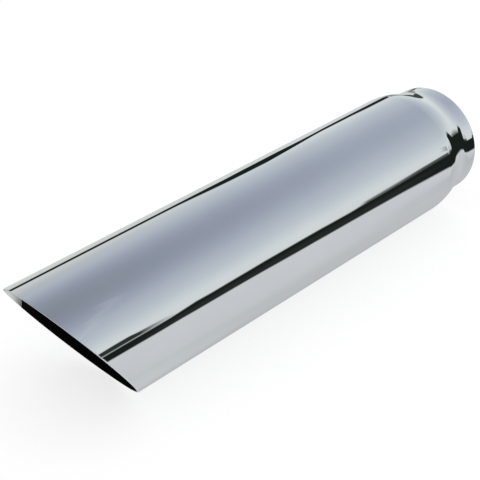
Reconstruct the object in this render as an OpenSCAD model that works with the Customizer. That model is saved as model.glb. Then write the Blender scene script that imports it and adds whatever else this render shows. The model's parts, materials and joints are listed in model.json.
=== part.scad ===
// Slash-cut exhaust tip: one polished steel tube, drawn in at its inlet end.
// The inlet mouth's centre is the origin, the tube runs along +X and its long lip is on top.

/* [Tube] */
// Outside diameter of the straight body
body_d = 101.6; // [80:0.1:130]
// Thickness of the sheet that the tube is rolled from
wall = 1.5; // [1:0.1:3]
// Length from the inlet mouth to the tip of the long lip
overall_l = 457.2; // [320:0.1:700]

/* [Outlet] */
// Angle of the slash cut, measured from a square cut
cut_angle = 38.7; // [5:0.1:50]

/* [Inlet] */
// Outside diameter of the straight collar that takes the pipe
collar_d = 89.6; // [70:0.1:120]
// Length of the straight collar
collar_l = 10; // [4:0.1:60]
// Outside radius of the shoulder, where the body starts to turn towards the collar
shoulder_r = 63.5; // [30:0.5:120]
// Outside radius of the hollow, where the shoulder runs out into the collar
hollow_r = 50; // [30:0.5:120]

/* [Hidden] */

// Facets round the tube, and steps along each bend of the inlet end
$fn = 180;
bend_steps = 24;
// How far the cutting block reaches past the tube on every side
overcut = 20;

steel = [0.77, 0.79, 0.83];
body_r = body_d / 2;
collar_r = collar_d / 2;

// 1 where the inlet end is drawn in to a narrower collar, -1 where it is opened to a wider one
draw = sign(body_r - collar_r);
// Both bends turn through the same angle, so that they meet without a corner
turn_angle = acos(1 - abs(body_r - collar_r) / (shoulder_r + hollow_r));
body_start = collar_l + (shoulder_r + hollow_r) * sin(turn_angle);

// Point of the sheet as [radius, distance from the inlet], on a bend that leaves the straight tube at
// start and has turned through the angle a. The bend's radius is that of the outer face, and is
// positive where its centre lies outside the tube. Depth is how far the point lies inside the outer face.
function on_bend(start, bend_r, a, depth, ahead) = [
    start[0] + bend_r * (1 - cos(a)) - depth * cos(a),
    start[1] + ahead * sign(bend_r) * (bend_r + depth) * sin(a)
];

// One face of the sheet from the inlet mouth to a square outlet
function face(depth) = concat(
    [[collar_r - depth, 0]],
    [for (i = [0 : bend_steps])
        on_bend([collar_r, collar_l], draw * hollow_r, turn_angle * i / bend_steps, depth, 1)],
    [for (i = [bend_steps : -1 : 0])
        on_bend([body_r, body_start], -draw * shoulder_r, turn_angle * i / bend_steps, depth, -1)],
    [[body_r - depth, overall_l]]
);

function reversed(points) = [for (i = [len(points) - 1 : -1 : 0]) points[i]];

// The drawn tube with a square outlet: outer face up, inner face back down
module drawn_tube() {
    rotate([0, 90, 0])
        rotate_extrude()
            polygon(concat(face(0), reversed(face(wall))));
}

// Block that takes off everything past the slash cut, which starts at the tip of the long lip
module slash_block() {
    reach = body_d / cos(cut_angle) + overcut;
    translate([overall_l, 0, body_r])
        rotate([0, cut_angle, 0])
            translate([0, -body_r - overcut, -reach])
                cube([reach, body_d + 2 * overcut, reach + overcut]);
}

module tip_tube() {
    color(steel)
        difference() {
            drawn_tube();
            slash_block();
        }
}

tip_tube();
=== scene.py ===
import json
import math

import bpy
import numpy as np
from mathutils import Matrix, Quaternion, Vector


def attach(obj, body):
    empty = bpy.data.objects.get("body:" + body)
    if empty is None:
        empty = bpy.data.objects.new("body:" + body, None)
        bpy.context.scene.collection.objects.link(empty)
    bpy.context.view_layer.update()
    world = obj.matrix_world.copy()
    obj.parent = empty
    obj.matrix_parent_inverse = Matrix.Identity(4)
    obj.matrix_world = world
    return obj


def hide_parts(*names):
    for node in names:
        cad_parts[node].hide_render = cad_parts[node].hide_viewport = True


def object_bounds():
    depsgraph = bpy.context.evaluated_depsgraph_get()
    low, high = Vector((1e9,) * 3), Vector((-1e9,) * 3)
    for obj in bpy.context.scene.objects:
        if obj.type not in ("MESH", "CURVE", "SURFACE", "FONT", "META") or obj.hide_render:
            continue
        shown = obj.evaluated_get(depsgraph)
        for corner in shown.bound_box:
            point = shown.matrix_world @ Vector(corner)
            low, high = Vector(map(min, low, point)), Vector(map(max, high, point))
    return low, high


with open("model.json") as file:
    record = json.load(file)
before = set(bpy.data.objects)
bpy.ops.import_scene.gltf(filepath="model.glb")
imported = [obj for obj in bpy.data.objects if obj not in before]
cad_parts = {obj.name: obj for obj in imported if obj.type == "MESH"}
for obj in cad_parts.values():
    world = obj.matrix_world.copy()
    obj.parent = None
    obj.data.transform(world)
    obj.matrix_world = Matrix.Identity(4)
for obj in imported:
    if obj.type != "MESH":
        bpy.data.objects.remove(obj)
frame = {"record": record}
cad_low, cad_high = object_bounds()

# Exhaust tip tube
# One sheet of stainless steel, rolled and welded into a tube, drawn in at the inlet to a collar that
# takes the tail pipe, sawn on a slant at the outlet and polished outside to a mirror.
overall_length = cad_high.x
body_radius = cad_high.y
wall = 0.0015
collar_radius = frame["record"]["mounts"][0]["dims"]["r_mm"] / 1000 + wall
collar_length = 0.010
shoulder_radius = 0.0635
hollow_radius = 0.050
cut_angle = math.radians(38.7)
# How far the polishing rounds the sheet's outer edges and its inner ones
outer_round = 0.0006
inner_round = 0.0002
# Steps of the mesh round the tube, and along the collar, each bend, the body and each rounded edge
columns = 256
collar_rows = 4
bend_rows = 24
body_rows = 56
edge_rows = 6
# Places of the three finishes in the mesh's list of materials
polished_slot, ground_shaded_slot, inside_slot = 0, 1, 2

turn_angle = math.acos(1 - (body_radius - collar_radius) / (shoulder_radius + hollow_radius))
body_start = collar_length + (shoulder_radius + hollow_radius) * math.sin(turn_angle)
around = np.linspace(0, 2 * math.pi, columns, endpoint=False)[:, None]


def cut_at(radius):
    """Distance of the slash plane from the inlet, for a radius, all round the tube.

    x = L - (R - r cos a) tan(cut): the plane starts at the tip of the lip, on top, and slants back.
    """
    return overall_length - (body_radius - radius * np.cos(around)) * math.tan(cut_angle)


def drawn_end(depth):
    """One face of the drawn-in end: distances and radii from the collar to the body's start.

    The hollow and the shoulder are arcs about fixed centres, so a face that lies deeper in the sheet
    keeps the centres and changes the arcs' radii: r = r0 + b (1 - cos a) - depth cos a, and
    x = x0 + (b + depth) sin a, with b taken negative on the shoulder.
    """
    angle = np.linspace(0, turn_angle, bend_rows + 1)
    hollow_r = collar_radius + hollow_radius * (1 - np.cos(angle)) - depth * np.cos(angle)
    hollow_x = collar_length + (hollow_radius + depth) * np.sin(angle)
    shoulder_r = body_radius - shoulder_radius * (1 - np.cos(angle)) - depth * np.cos(angle)
    shoulder_x = body_start - (shoulder_radius - depth) * np.sin(angle)
    return (np.concatenate([hollow_x, shoulder_x[-2::-1]]),
            np.concatenate([hollow_r, shoulder_r[-2::-1]]))


def face_of(depth, edge_round):
    """One face of the sheet from the collar's mouth to the edge of the cut, as distances and radii.

    Rows lie close together at both ends of the straight body, at (1 - cos(pi t)) / 2 of its length.
    """
    end_x, end_r = drawn_end(depth)
    collar_x = np.linspace(edge_round, collar_length, collar_rows + 1)[:-1]
    fixed_x = np.concatenate([collar_x, end_x]) + 0 * around
    fixed_r = np.concatenate([np.full_like(collar_x, collar_radius - depth), end_r]) + 0 * around
    step = (1 - np.cos(np.linspace(0, math.pi, body_rows + 1)[1:])) / 2
    stop = cut_at(body_radius - depth) - edge_round
    body_x = body_start + (stop - body_start) * step
    return (np.hstack([fixed_x, body_x]),
            np.hstack([fixed_r, np.full_like(body_x, body_radius - depth)]))


def rounded(ax, ar, cx, cr, bx, br):
    """A rounded edge from a to b with its corner at c, as the curve (1-t)^2 a + 2t(1-t) c + t^2 b."""
    t = np.linspace(0, 1, edge_rows + 1)
    weights = (1 - t) ** 2, 2 * t * (1 - t), t ** 2
    x = weights[0] * ax + weights[1] * cx + weights[2] * bx
    r = weights[0] * ar + weights[1] * cr + weights[2] * br
    return x + 0 * around, r + 0 * around


body_bore = body_radius - wall
collar_bore = collar_radius - wall
outer_x, outer_r = face_of(0.0, outer_round)
inner_x, inner_r = face_of(wall, inner_round)
lip_out_x, lip_out_r = rounded(
    outer_x[:, -1:], body_radius, cut_at(body_radius), body_radius,
    cut_at(body_radius - outer_round), body_radius - outer_round)
lip_in_x, lip_in_r = rounded(
    cut_at(body_bore + inner_round), body_bore + inner_round,
    cut_at(body_bore), body_bore, inner_x[:, -1:], body_bore)
mouth_in_x, mouth_in_r = rounded(inner_round, collar_bore, 0.0, collar_bore, 0.0, collar_bore + inner_round)
mouth_out_x, mouth_out_r = rounded(
    0.0, collar_radius - outer_round, 0.0, collar_radius, outer_round, collar_radius)

# The sheet's closed profile: outside from the collar's mouth to the lip, and back along the inside
profile = (
    (outer_x, outer_r, polished_slot),
    (lip_out_x[:, 1:], lip_out_r[:, 1:], polished_slot),
    (lip_in_x, lip_in_r, inside_slot),
    (inner_x[:, -2::-1], inner_r[:, -2::-1], inside_slot),
    (mouth_in_x[:, 1:], mouth_in_r[:, 1:], ground_shaded_slot),
    (mouth_out_x[:, :-1], mouth_out_r[:, :-1], polished_slot),
)
x = np.hstack([part_x for part_x, _, _ in profile])
r = np.hstack([part_r for _, part_r, _ in profile])
row_slot = np.concatenate([np.full(part_x.shape[1], slot) for part_x, _, slot in profile])
points = np.stack([x, r * np.sin(around), r * np.cos(around)], axis=-1).reshape(-1, 3)

# Each quad joins two rows and two columns, and both close on themselves. Where two finishes meet lies
# the flat face of a cut, which has the ground finish with its painted shade.
rows = x.shape[1]
i, j = np.meshgrid(np.arange(columns), np.arange(rows), indexing="ij")
i_next, j_next = (i + 1) % columns, (j + 1) % rows
quads = np.stack([i * rows + j, i_next * rows + j, i_next * rows + j_next, i * rows + j_next], axis=-1)
slot_of_quad = np.where(row_slot[j] == row_slot[j_next], row_slot[j], ground_shaded_slot)
tube_mesh = bpy.data.meshes.new("exhaust_tip_tube")
tube_mesh.from_pydata(points.tolist(), [], quads.reshape(-1, 4).tolist())
tube_mesh.polygons.foreach_set("use_smooth", np.ones(columns * rows, dtype=bool))
tube_mesh.polygons.foreach_set("material_index", slot_of_quad.astype(np.int32).ravel())
tube_mesh.validate()
tube = bpy.data.objects.new("exhaust_tip_tube", tube_mesh)
bpy.context.scene.collection.objects.link(tube)


def new_node(tree, kind, **settings):
    """A node of that kind, with its properties and its unlinked inputs set by name."""
    node = tree.nodes.new(kind)
    for name, value in settings.items():
        if hasattr(node, name):
            setattr(node, name, value)
        else:
            node.inputs[name.replace("_", " ")].default_value = value
    return node


def fill(tree, sockets, values):
    """Gives each socket its value: an output is linked, a number or colour is set, None is passed over."""
    for socket, value in zip(sockets, values):
        if isinstance(value, bpy.types.NodeSocket):
            tree.links.new(value, socket)
        elif value is not None:
            socket.default_value = value


def math_node(tree, operation, a, b=None):
    """A Math node of a and b, each a number or an output, and its result."""
    node = new_node(tree, "ShaderNodeMath", operation=operation)
    fill(tree, node.inputs, (a, b))
    return node.outputs[0]


def mix_colour(tree, share, a, b):
    """A Mix node of the colours a and b, each four numbers or an output, and its result.

    The node has sockets for every kind of value. For colours they are 0, 6 and 7, and output 2.
    """
    node = new_node(tree, "ShaderNodeMix", data_type="RGBA")
    fill(tree, (node.inputs[0], node.inputs[6], node.inputs[7]), (share, a, b))
    return node.outputs[2]


# Marks of the polishing: fine streaks round the tube, slow waves in the sheet, and clouds of haze
streaks_per_metre = (900, 25, 25)
waves_per_metre = 20.0
clouds_per_metre = 14.0
# The share that such noise gives mostly lies between these
noise_low, noise_high = 0.3, 0.7
marks_group = bpy.data.node_groups.new("polishing_marks", "ShaderNodeTree")
for name in ("Streaks", "Waves", "Clouds"):
    marks_group.interface.new_socket(name, in_out="OUTPUT", socket_type="NodeSocketFloat")
marks_out = new_node(marks_group, "NodeGroupOutput")
place = new_node(marks_group, "ShaderNodeTexCoord").outputs["Object"]
stretch = new_node(marks_group, "ShaderNodeMapping", vector_type="POINT", Scale=streaks_per_metre)
marks_group.links.new(place, stretch.inputs["Vector"])
for name, source, settings in (
    ("Streaks", stretch.outputs["Vector"], {"Scale": 1.0, "Detail": 3.0, "Roughness": 0.6}),
    ("Waves", place, {"Scale": waves_per_metre, "Detail": 0.0}),
    ("Clouds", place, {"Scale": clouds_per_metre, "Detail": 3.0}),
):
    noise = new_node(marks_group, "ShaderNodeTexNoise", **settings)
    marks_group.links.new(source, noise.inputs["Vector"])
    marks_group.links.new(noise.outputs["Fac"], marks_out.inputs[name])


def between(tree, share, low, high):
    """A Map Range node that takes the usual range of a noise's share to low and high."""
    node = new_node(tree, "ShaderNodeMapRange", From_Min=noise_low, From_Max=noise_high,
                    To_Min=low, To_Max=high)
    tree.links.new(share, node.inputs["Value"])
    return node.outputs[0]


def add_finish(name, wave_height, streak_height):
    """Puts a metal finish with the polishing marks on the tube, and gives its tree, shader and marks.

    The relief, in metres, is wave_height * waves + streak_height * streaks.
    """
    material = bpy.data.materials.new(name)
    material.use_nodes = True
    tube_mesh.materials.append(material)
    tree = material.node_tree
    shader = tree.nodes["Principled BSDF"]
    shader.inputs["Metallic"].default_value = 1.0
    marks = new_node(tree, "ShaderNodeGroup", node_tree=marks_group).outputs
    relief = math_node(tree, "ADD", math_node(tree, "MULTIPLY", marks["Waves"], wave_height),
                       math_node(tree, "MULTIPLY", marks["Streaks"], streak_height))
    bump = new_node(tree, "ShaderNodeBump", Strength=1.0, Distance=1.0)
    tree.links.new(relief, bump.inputs["Height"])
    tree.links.new(bump.outputs["Normal"], shader.inputs["Normal"])
    return tree, shader, marks


def shade_steel(tree, shader, marks, darker, lighter, smooth, rough):
    """Colour from darker to lighter with the clouds, roughness with the root of clouds times streaks."""
    colour = mix_colour(tree, between(tree, marks["Clouds"], 0.0, 1.0), darker, lighter)
    tree.links.new(colour, shader.inputs["Base Color"])
    haze = math_node(tree, "SQRT", math_node(tree, "MULTIPLY", marks["Clouds"], marks["Streaks"]))
    tree.links.new(between(tree, haze, smooth, rough), shader.inputs["Roughness"])


# The outside is polished to a mirror, and the sheet keeps its slow waves
tree, shader, marks = add_finish("polished_outside", wave_height=2e-5, streak_height=1.5e-7)
shade_steel(tree, shader, marks, darker=(0.755, 0.775, 0.815, 1.0), lighter=(0.785, 0.805, 0.845, 1.0),
            smooth=0.010, rough=0.022)

# The sawn edges are ground and rough, and grey with painted shade: darker than steel, for the shade they
# mirror
tree, shader, marks = add_finish("ground_edge_painted_shade", wave_height=0.0, streak_height=4e-6)
shade_steel(tree, shader, marks, darker=(0.15, 0.153, 0.16, 1.0), lighter=(0.25, 0.254, 0.26, 1.0),
            smooth=0.30, rough=0.45)

# The inside is matt, and painted near black as painted shade for the shaded inside of the tube, up to the
# bare end of the lip, where the polishing reaches in and the colour is raised above steel's own as painted
# light for the bright reflection there. The finish starts to change at bare_from along the tube and is bare
# steel after bare_over more.
bare_from, bare_over = 0.4146, 0.0002
# Paler than steel: painted light, for the bright reflection on the lip's inner face
bare_lit_darker, bare_lit_lighter = (0.86, 0.86, 0.85, 1.0), (0.95, 0.95, 0.94, 1.0)
bare_roughness = (0.25, 0.33)
# Near black: painted shade for the shaded inside of the tube
painted_shade_darker, painted_shade_lighter = (0.0035, 0.0036, 0.0038, 1.0), (0.007, 0.007, 0.0072, 1.0)
inside_roughness = (0.55, 0.75)
inside_shine = 0.08
tree, shader, marks = add_finish("inside_painted_shade", wave_height=0.0, streak_height=2e-6)
shader.inputs["Specular IOR Level"].default_value = inside_shine
along = new_node(tree, "ShaderNodeSeparateXYZ")
tree.links.new(new_node(tree, "ShaderNodeTexCoord").outputs["Object"], along.inputs[0])
bare = new_node(tree, "ShaderNodeMapRange", From_Min=bare_from, From_Max=bare_from + bare_over)
tree.links.new(along.outputs["X"], bare.inputs["Value"])
# The bare end takes the painted light, and the rest of the inside the painted shade
bare_lit_colour = mix_colour(tree, between(tree, marks["Clouds"], 0.0, 1.0), bare_lit_darker, bare_lit_lighter)
painted_shade_colour = mix_colour(tree, between(tree, marks["Streaks"], 0.0, 1.0), painted_shade_darker, painted_shade_lighter)
tree.links.new(mix_colour(tree, bare.outputs[0], painted_shade_colour, bare_lit_colour), shader.inputs["Base Color"])
tree.links.new(bare.outputs[0], shader.inputs["Metallic"])
# A Mix node's sockets for plain numbers are 0, 2 and 3, and output 0
roughness = new_node(tree, "ShaderNodeMix", data_type="FLOAT")
fill(tree, (roughness.inputs[0], roughness.inputs[2], roughness.inputs[3]),
     (bare.outputs[0], between(tree, marks["Clouds"], *inside_roughness),
      between(tree, marks["Clouds"], *bare_roughness)))
tree.links.new(roughness.outputs[0], shader.inputs["Roughness"])

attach(tube, "root")
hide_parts("tip_tube")

# Camera
# It looks down on the tube through a long lens, from past the slash-cut outlet and from the +Y side,
# and is turned a little about its own line of sight.
camera_azimuth = math.radians(125.12)
camera_elevation = math.radians(34.37)
camera_roll = math.radians(9.38)
camera_distance = 1.0
aim_point = Vector((0.29968, 0.03655, 0.04959))

towards_camera = Vector((
    math.sin(camera_azimuth) * math.cos(camera_elevation),
    -math.cos(camera_azimuth) * math.cos(camera_elevation),
    math.sin(camera_elevation),
))
camera_data = bpy.data.cameras.new("camera")
camera_data.sensor_width = 36.0
camera_data.lens = 111.76
camera = bpy.data.objects.new("camera", camera_data)
camera.location = aim_point + camera_distance * towards_camera
camera.rotation_mode = "QUATERNION"
camera.rotation_quaternion = (
    (-towards_camera).to_track_quat("-Z", "Y") @ Quaternion((0, 0, 1), camera_roll)
)
bpy.context.scene.collection.objects.link(camera)
bpy.context.scene.camera = camera
bpy.context.scene.view_settings.view_transform = "Standard"

# Studio room
# A pale tent of soft light round the object. The camera sees plain white. Polished steel sees the tent,
# pale below, bright at the tube's own height and blue-grey overhead, by direction. The real tip lay with
# its lip about 10 degrees round from the top, so the level of the room is turned about X instead.
room_turn = math.radians(10.1)
plain_light = (0.75, 0.75, 0.75, 1.0)
white = (1.0, 1.0, 1.0, 1.0)
black = (0.0, 0.0, 0.0, 1.0)
# Elevation in degrees, and the colour of the tent there
tent_light = (
    (-90, (0.86, 0.88, 0.87)),
    (-64, (0.83, 0.85, 0.84)),
    (-54, (0.765, 0.785, 0.775)),
    (-51, (0.715, 0.738, 0.728)),
    (-47, (0.662, 0.684, 0.676)),
    (-30, (0.701, 0.712, 0.716)),
    (-3, (0.725, 0.745, 0.725)),
    (0, (0.802, 0.825, 0.800)),
    (7, (0.802, 0.833, 0.810)),
    (14, (0.700, 0.764, 0.768)),
    (20, (0.630, 0.683, 0.700)),
    (30, (0.536, 0.590, 0.640)),
    (35, (0.495, 0.540, 0.599)),
    (40, (0.432, 0.480, 0.550)),
    (45, (0.388, 0.421, 0.497)),
    (50, (0.330, 0.367, 0.435)),
    (56, (0.285, 0.315, 0.357)),
    (62, (0.257, 0.286, 0.326)),
    (70, (0.240, 0.268, 0.308)),
    (90, (0.236, 0.264, 0.304)),
)
# A painted shadow of the tube darkens the tent a little on the floor past the inlet, where the tube leans
# over
# it: the direction of the patch's middle, the cosine of its reach and its greatest share
patch_azimuth, patch_elevation = -25, -45
patch_reach = 0.72
patch_share = 0.14


def in_room(azimuth, elevation, distance):
    """Points of the levelled room in those directions from the tube, for angles in degrees.

    Azimuth turns from -X, the inlet's way, to +Y, the camera's side. In the room's own axes a direction
    is (-cos A cos E, sin A cos E, sin E), and the room is then turned about X.
    """
    azimuth, elevation = np.radians(azimuth), np.radians(elevation)
    along = -np.cos(azimuth) * np.cos(elevation)
    across = np.sin(azimuth) * np.cos(elevation)
    up = np.sin(elevation)
    side = np.cos(room_turn) * across - np.sin(room_turn) * up
    rise = np.sin(room_turn) * across + np.cos(room_turn) * up
    return distance * np.stack([along, side, rise], axis=-1)


world = bpy.data.worlds.new("studio")
bpy.context.scene.world = world
world.use_nodes = True
world.cycles.sampling_method = "NONE"
tree = world.node_tree
tree.nodes.clear()
direction = new_node(tree, "ShaderNodeTexCoord").outputs["Generated"]
levelled = new_node(tree, "ShaderNodeVectorRotate", rotation_type="X_AXIS", Angle=-room_turn)
tree.links.new(direction, levelled.inputs["Vector"])
height = new_node(tree, "ShaderNodeSeparateXYZ")
tree.links.new(levelled.outputs[0], height.inputs[0])
# The tent's colours lie at (1 + sin E) / 2 along a ramp, from straight down at 0 to straight up at 1
raised = math_node(tree, "ADD", math_node(tree, "MULTIPLY", height.outputs["Z"], 0.5), 0.5)
tent = new_node(tree, "ShaderNodeValToRGB")
tree.links.new(raised, tent.inputs["Fac"])
stops = tent.color_ramp.elements
while len(stops) < len(tent_light):
    stops.new(1.0)
for stop, (elevation, colour) in zip(stops, tent_light):
    stop.position = (1 + math.sin(math.radians(elevation))) / 2
    stop.color = (*colour, 1.0)
# The painted shadow: the tent darkens towards the patch's middle
towards_patch = new_node(tree, "ShaderNodeVectorMath", operation="DOT_PRODUCT")
fill(tree, towards_patch.inputs, (direction, in_room(patch_azimuth, patch_elevation, 1.0)))
patch = new_node(tree, "ShaderNodeMapRange", interpolation_type="SMOOTHSTEP", From_Min=patch_reach,
                 To_Max=patch_share)
tree.links.new(towards_patch.outputs["Value"], patch.inputs["Value"])
tent_colour = mix_colour(tree, patch.outputs[0], tent.outputs["Color"], black)
path = new_node(tree, "ShaderNodeLightPath")
mirrored = math_node(tree, "MAXIMUM", path.outputs["Is Glossy Ray"], path.outputs["Is Transmission Ray"])
lit = mix_colour(tree, mirrored, plain_light, tent_colour)
seen = mix_colour(tree, path.outputs["Is Camera Ray"], lit, white)
background = new_node(tree, "ShaderNodeBackground")
tree.links.new(seen, background.inputs["Color"])
tree.links.new(background.outputs[0], new_node(tree, "ShaderNodeOutputWorld").inputs["Surface"])

# Far walls
# The dark walls of the room behind the tent with what stands before them, and faint shades and seams of
# the tent. Only polished steel sees them, as the lines along the tube, and they stand so far off that
# every part of the tube sees them in the same direction.
wall_distance = 400.0
near_black = (0.0118, 0.0166, 0.0128, 1.0)
# Degrees of azimuth from one column of a band's points to the next
band_step = 0.5


def mirrored_band(name, colour, outline, softness, cover=((0, 1.0),), nearness=1.0):
    """A far band between two edges that only polished steel sees, in one colour, with its edges blurred.

    Outline is rows of azimuth and the elevations of the lower and the upper edge. Softness is rows of
    azimuth and degrees of blur, one for both edges or one for the lower and one for the upper. Cover is
    rows of azimuth and share. The band's rows of points lie at low - f, low + f, high - g and high + g,
    where f and g are half the blur or half the band's height, and the cover rises from 0 to its full
    share over each outer pair of them.
    """
    angle, low, high = np.array(outline, dtype=float).T
    azimuth = np.unique(np.concatenate([np.arange(angle[0], angle[-1], band_step), angle]))
    low, high = np.interp(azimuth, angle, low), np.interp(azimuth, angle, high)
    blur = np.array(softness).T
    below, above = (np.minimum(np.interp(azimuth, blur[0], blur[k]), high - low) / 2 for k in (1, -1))
    edges = [in_room(azimuth, edge, wall_distance * nearness)
             for edge in (low - below, low + below, high - above, high + above)]
    count = len(azimuth)
    i, j = np.meshgrid(np.arange(count - 1), np.arange(len(edges) - 1))
    corner = j * count + i
    quads = np.stack([corner, corner + 1, corner + 1 + count, corner + count], axis=-1).reshape(-1, 4)
    mesh = bpy.data.meshes.new(name)
    mesh.from_pydata(np.concatenate(edges).tolist(), [], quads.tolist())
    solid = mesh.attributes.new("solid", "FLOAT", "POINT")
    full = np.interp(azimuth, *np.array(cover).T)
    solid.data.foreach_set("value", np.concatenate([0 * full, full, full, 0 * full]))
    band = bpy.data.objects.new(name, mesh)
    bpy.context.scene.collection.objects.link(band)
    for ray in ("camera", "diffuse", "shadow", "transmission", "volume_scatter"):
        setattr(band, "visible_" + ray, False)
    paint = bpy.data.materials.new(name)
    paint.use_nodes = True
    paint.cycles.emission_sampling = "NONE"
    tree = paint.node_tree
    tree.nodes.clear()
    glow = new_node(tree, "ShaderNodeEmission", Color=colour)
    share = new_node(tree, "ShaderNodeAttribute", attribute_name="solid")
    blend = new_node(tree, "ShaderNodeMixShader")
    tree.links.new(share.outputs["Fac"], blend.inputs["Fac"])
    tree.links.new(new_node(tree, "ShaderNodeBsdfTransparent").outputs[0], blend.inputs[1])
    tree.links.new(glow.outputs[0], blend.inputs[2])
    tree.links.new(blend.outputs[0], new_node(tree, "ShaderNodeOutputMaterial").inputs["Surface"])
    mesh.materials.append(paint)


# Wall on the tube's far side, with a mass past the inlet that shows in the shoulder and the hollow
mirrored_band(
    "left_wall", colour=near_black,
    outline=(
        (-59, -0.5, 6.3), (-49.5, -0.5, 6.3), (-48.7, -0.4, 6.7), (-47.8, -0.4, 8.3), (-47.0, 0.0, 9.9),
        (-46.2, -0.8, 11.2), (-45.5, -1.0, 12.0), (-44.7, -1.2, 12.4), (-44.2, -0.7, 12.5),
        (-43.8, -0.3, 12.8), (-43.3, -0.5, 9.5), (-42.9, -1.2, 6.2), (-42.6, -1.8, 5.2), (-41.2, -2.1, 5.6),
        (-40.5, -1.9, 6.8), (-39.9, -1.5, 7.2), (-39.1, -1.8, 7.0), (-38.95, -4.0, 6.5), (-38.85, -5.0, 1.0),
        (-38.75, -5.5, -1.0), (-38.45, -7.0, -1.0), (-38.3, -7.5, 2.0), (-38.1, -7.5, 6.0),
        (-37.5, -7.5, 4.6), (-36.5, -8.0, 4.5), (-35.8, -4.5, 4.4), (-35.0, -1.3, 4.4), (-33.0, -1.6, 4.5),
        (-32.0, -4.0, 4.6), (-31.3, -9.0, 4.8), (-30.8, -12.5, 5.0), (-29.0, -12.5, 5.5),
        (-28.0, -10.0, 6.0), (-27.2, -8.0, 6.0), (-26.6, -4.0, 5.5), (-26.0, 0.0, 4.0), (-25.7, 1.8, 2.2),
    ),
    softness=((-42, 1.6), (-40.5, 2.4), (-37, 3.5)),
    cover=((-39.1, 1.0), (-38.95, 0.8), (-38.75, 0.7), (-38.1, 0.8), (-37.5, 0.75), (-36.5, 0.6),
           (-33.2, 0.55), (-32.2, 0.94)),
)
# Wall on the camera's side, with the upright thing that shows as the dark mass in the neck
mirrored_band(
    "right_wall", colour=near_black,
    outline=(
        (-22, -15.8, -3.2), (2, -16.6, -3.2), (4.5, -16.1, -1.8), (8, -15.3, 0.6), (10, -14.8, 1.7),
        (13, -14.3, 3.1), (16, -14.0, 4.4), (17.5, -13.9, 6.0), (18.6, -13.9, 8.7), (19.4, -14.1, 11.7),
        (20.2, -14.5, 13.1), (21.5, -16.2, 13.4), (22.3, -17.1, 13.4), (25.8, -17.5, 13.2),
        (26.6, -17.5, 12.2), (27.1, -17.5, 8.5), (27.6, -17.5, 4.5), (28.3, -17.5, 0.5), (29.2, -17.5, -2.2),
        (33.0, -18.0, -2.7), (35.0, -17.6, -2.7), (36.0, -17.1, -2.6), (37.7, -15.8, -2.5),
        (38.7, -14.9, -2.5), (39.9, -14.1, -2.6), (41.0, -13.5, -2.7), (42.0, -13.1, -2.7),
        (42.9, -12.8, -2.3), (43.3, -12.6, -2.5), (43.7, -12.4, -2.2), (44.2, -12.3, -1.8),
        (44.65, -12.2, -1.35), (45.1, -11.9, -1.2), (45.6, -11.6, -1.0), (46.4, -11.1, -0.85),
        (47.1, -10.85, -0.6), (47.8, -10.7, -0.8), (48.7, -10.6, -0.85), (49.5, -10.6, -1.0),
        (50.2, -10.3, -0.5), (50.7, -10.35, -1.25), (51.0, -10.55, -1.7), (51.3, -10.6, -2.15),
        (51.8, -10.5, -2.2), (52.5, -10.4, -2.05), (53.1, -10.45, -1.9), (53.9, -10.2, -1.9),
        (54.3, -8.8, -1.95), (54.7, -6.3, -2.1), (55.0, -3.8, -2.9),
    ),
    softness=((1, 1.6, 1.6), (4, 1.6, 5.5), (15, 1.6, 5.0), (23, 1.6, 4.0), (27, 1.6, 1.6)),
)
# Wall behind the camera and round to the far side
mirrored_band(
    "back_wall", colour=near_black,
    outline=(
        (57, -6.5, -2.6), (64, -8.0, -2.0), (75, -8.0, -1.5), (120, -7.0, -1.0), (240, -6.0, -0.5),
        (285, -4.0, 1.0), (301, -0.9, 7.0),
    ),
    softness=((0, 1.6),),
    cover=((57, 0.0), (57.8, 1.0)),
)
# Faint shade on the floor of the far side
mirrored_band(
    "floor_shade", colour=(0.3, 0.3, 0.3, 1.0),
    outline=((-50, -47, -22), (-6, -47, -24)),
    softness=((0, 14.0),),
    cover=((-50, 0.0), (-38, 0.2), (-30, 0.28), (-20, 0.22), (-12, 0.05), (-6, 0.0)),
)
# Grey ledge on top of the wall on the camera's side
mirrored_band(
    "grey_ledge", colour=(0.095, 0.10, 0.095, 1.0),
    outline=(
        (28.3, -3.6, -1.6), (31, -3.6, -0.8), (34, -3.6, -0.2), (37.2, -3.6, 0.1), (37.4, -3.9, -2.6),
        (38.15, -3.9, -2.6), (38.4, -3.5, 0.6), (40, -3.5, 0.35), (41.2, -3.5, -0.3), (42.5, -3.3, -0.4),
        (42.9, -3.2, -0.6), (43.1, -3.2, -1.8),
    ),
    softness=((40, 1.5), (41.2, 3.0)),
    cover=((42.5, 1.0), (42.9, 0.15)),
    nearness=1.02,
)
# Haze beside the upright thing
mirrored_band(
    "post_haze", colour=(0.3, 0.3, 0.28, 1.0),
    outline=((23, -3, 9), (26, -3, 8), (30, -3, 6), (33, -3, 5)),
    softness=((0, 4.0),),
    cover=((23, 0.0), (24.5, 0.35), (28, 0.3), (33, 0.0)),
    nearness=1.02,
)
# The wall's slightly paler middle, along the body
mirrored_band(
    "floor_gleam", colour=(0.024, 0.029, 0.026, 1.0),
    outline=(
        (38.0, -14.4, -8.0), (42, -12.4, -7.3), (44.6, -11.3, -6.0), (47, -10.2, -5.5), (50.2, -9.8, -5.2),
        (53, -9.6, -6.5),
    ),
    softness=((0, 2.5),),
    cover=((38, 0.0), (40, 0.8), (51, 1.0), (53, 0.0)),
    nearness=0.99,
)
# Shade on the floor past the inlet, which the collar's lower flank shows
mirrored_band(
    "inlet_haze", colour=(0.1, 0.1, 0.09, 1.0),
    outline=((-10, -35, -16), (10, -37, -17), (20, -36, -19), (27, -32, -20), (35, -28, -20)),
    softness=((0, 7.0),),
    cover=((-10, 0.0), (4, 0.06), (14, 0.11), (22, 0.19), (27, 0.22), (31, 0.06), (35, 0.0)),
)
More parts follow.
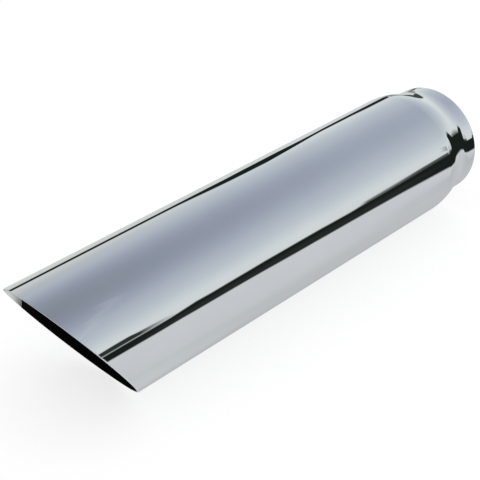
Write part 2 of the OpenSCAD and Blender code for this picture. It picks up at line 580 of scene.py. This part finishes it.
# Small grey thing above the ledge, which shows where the shoulder starts
mirrored_band(
    "grey_spot", colour=(0.16, 0.17, 0.16, 1.0),
    outline=(
        (38.1, 2.6, 9.0), (38.25, 2.6, 8.5), (38.45, 2.6, 7.0), (38.65, 2.6, 5.9), (38.85, 2.6, 4.9),
        (39.0, 2.6, 4.2),
    ),
    softness=((0, 2.6),),
    cover=((38.1, 0.0), (38.25, 0.9), (38.45, 1.0), (38.65, 0.95), (38.85, 0.65), (39.0, 0.0)),
    nearness=1.02,
)
# Haze over the ledge, which the collar shows beside the hollow
mirrored_band(
    "collar_haze", colour=(0.2, 0.2, 0.19, 1.0),
    outline=((30.5, -2.5, 3.5), (32.5, -2.5, 5.0), (35.5, -2.5, 5.0), (37.0, -2.5, 3.0)),
    softness=((0, 3.0),),
    cover=((30.5, 0.0), (32.5, 0.3), (35.5, 0.3), (37.0, 0.0)),
    nearness=1.02,
)
# Warm shade on the tent, on the far side of the outlet
mirrored_band(
    "warm_haze", colour=(0.45, 0.36, 0.29, 1.0),
    outline=((-60, -2.0, 50.0), (-52, -2.0, 44.0), (-49, -1.0, 32.0), (-44, 2.0, 24.0)),
    softness=((0, 22.0),),
    cover=((-60, 0.22), (-50, 0.18), (-44, 0.0)),
    nearness=1.02,
)
# Stand before the wall's end, near the outlet
mirrored_band(
    "lamp_stand", colour=(0.03, 0.038, 0.032, 1.0),
    outline=(
        (51.1, -1.4, 1.0), (51.6, -1.4, 1.6), (52.2, -1.4, 2.3), (52.7, -1.4, 2.9), (53.0, -1.3, 4.0),
        (53.6, -1.3, 4.1), (54.3, -1.3, 3.7), (56.5, -1.2, 2.9),
    ),
    softness=((0, 1.2),),
    cover=((51.1, 0.0), (52.7, 1.0)),
    nearness=0.98,
)
# Pale seam in the roof of the tent
mirrored_band(
    "tent_seam", colour=(0.9, 0.92, 0.95, 1.0),
    outline=((27, 47.5, 48.5), (30, 45.5, 46.5), (40, 39.5, 40.5), (48, 30.0, 31.2), (51, 26.0, 27.2)),
    softness=((0, 1.4),),
    cover=((0, 0.09),),
    nearness=0.98,
)

# Soft lamp
# One very broad lamp overhead, which softens the shadow on the floor. Polished steel doesn't mirror it.
lamp_strength = 0.8
lamp_spread = math.radians(100)
lamp_data = bpy.data.lights.new("soft_lamp", "SUN")
lamp_data.energy = lamp_strength
lamp_data.angle = lamp_spread
lamp = bpy.data.objects.new("soft_lamp", lamp_data)
lamp.visible_glossy = False
bpy.context.scene.collection.objects.link(lamp)

# Floor
# A plain pale floor that touches the tube. A glow that only the camera sees lifts it to the white of
# the room, and the tube's soft shadow stays. Polished steel sees the pale lower half of the tent instead.
floor_size = 6.0
floor_pale = (0.28, 0.28, 0.28, 1.0)
floor_lift = 0.755
floor_mesh = bpy.data.meshes.new("floor")
floor_mesh.from_pydata(
    [(x * floor_size, y * floor_size, cad_low.z) for x, y in ((-1, -1), (1, -1), (1, 1), (-1, 1))],
    [], [(0, 1, 2, 3)],
)
floor = bpy.data.objects.new("floor", floor_mesh)
floor.visible_glossy = False
bpy.context.scene.collection.objects.link(floor)

floor_paint = bpy.data.materials.new("pale_floor")
floor_paint.use_nodes = True
tree = floor_paint.node_tree
tree.nodes.clear()
matt = new_node(tree, "ShaderNodeBsdfDiffuse", Color=floor_pale)
path = new_node(tree, "ShaderNodeLightPath")
glow = new_node(tree, "ShaderNodeEmission")
lift = math_node(tree, "MULTIPLY", path.outputs["Is Camera Ray"], floor_lift)
tree.links.new(lift, glow.inputs["Strength"])
both = new_node(tree, "ShaderNodeAddShader")
tree.links.new(matt.outputs[0], both.inputs[0])
tree.links.new(glow.outputs[0], both.inputs[1])
tree.links.new(both.outputs[0], new_node(tree, "ShaderNodeOutputMaterial").inputs["Surface"])
floor_mesh.materials.append(floor_paint)
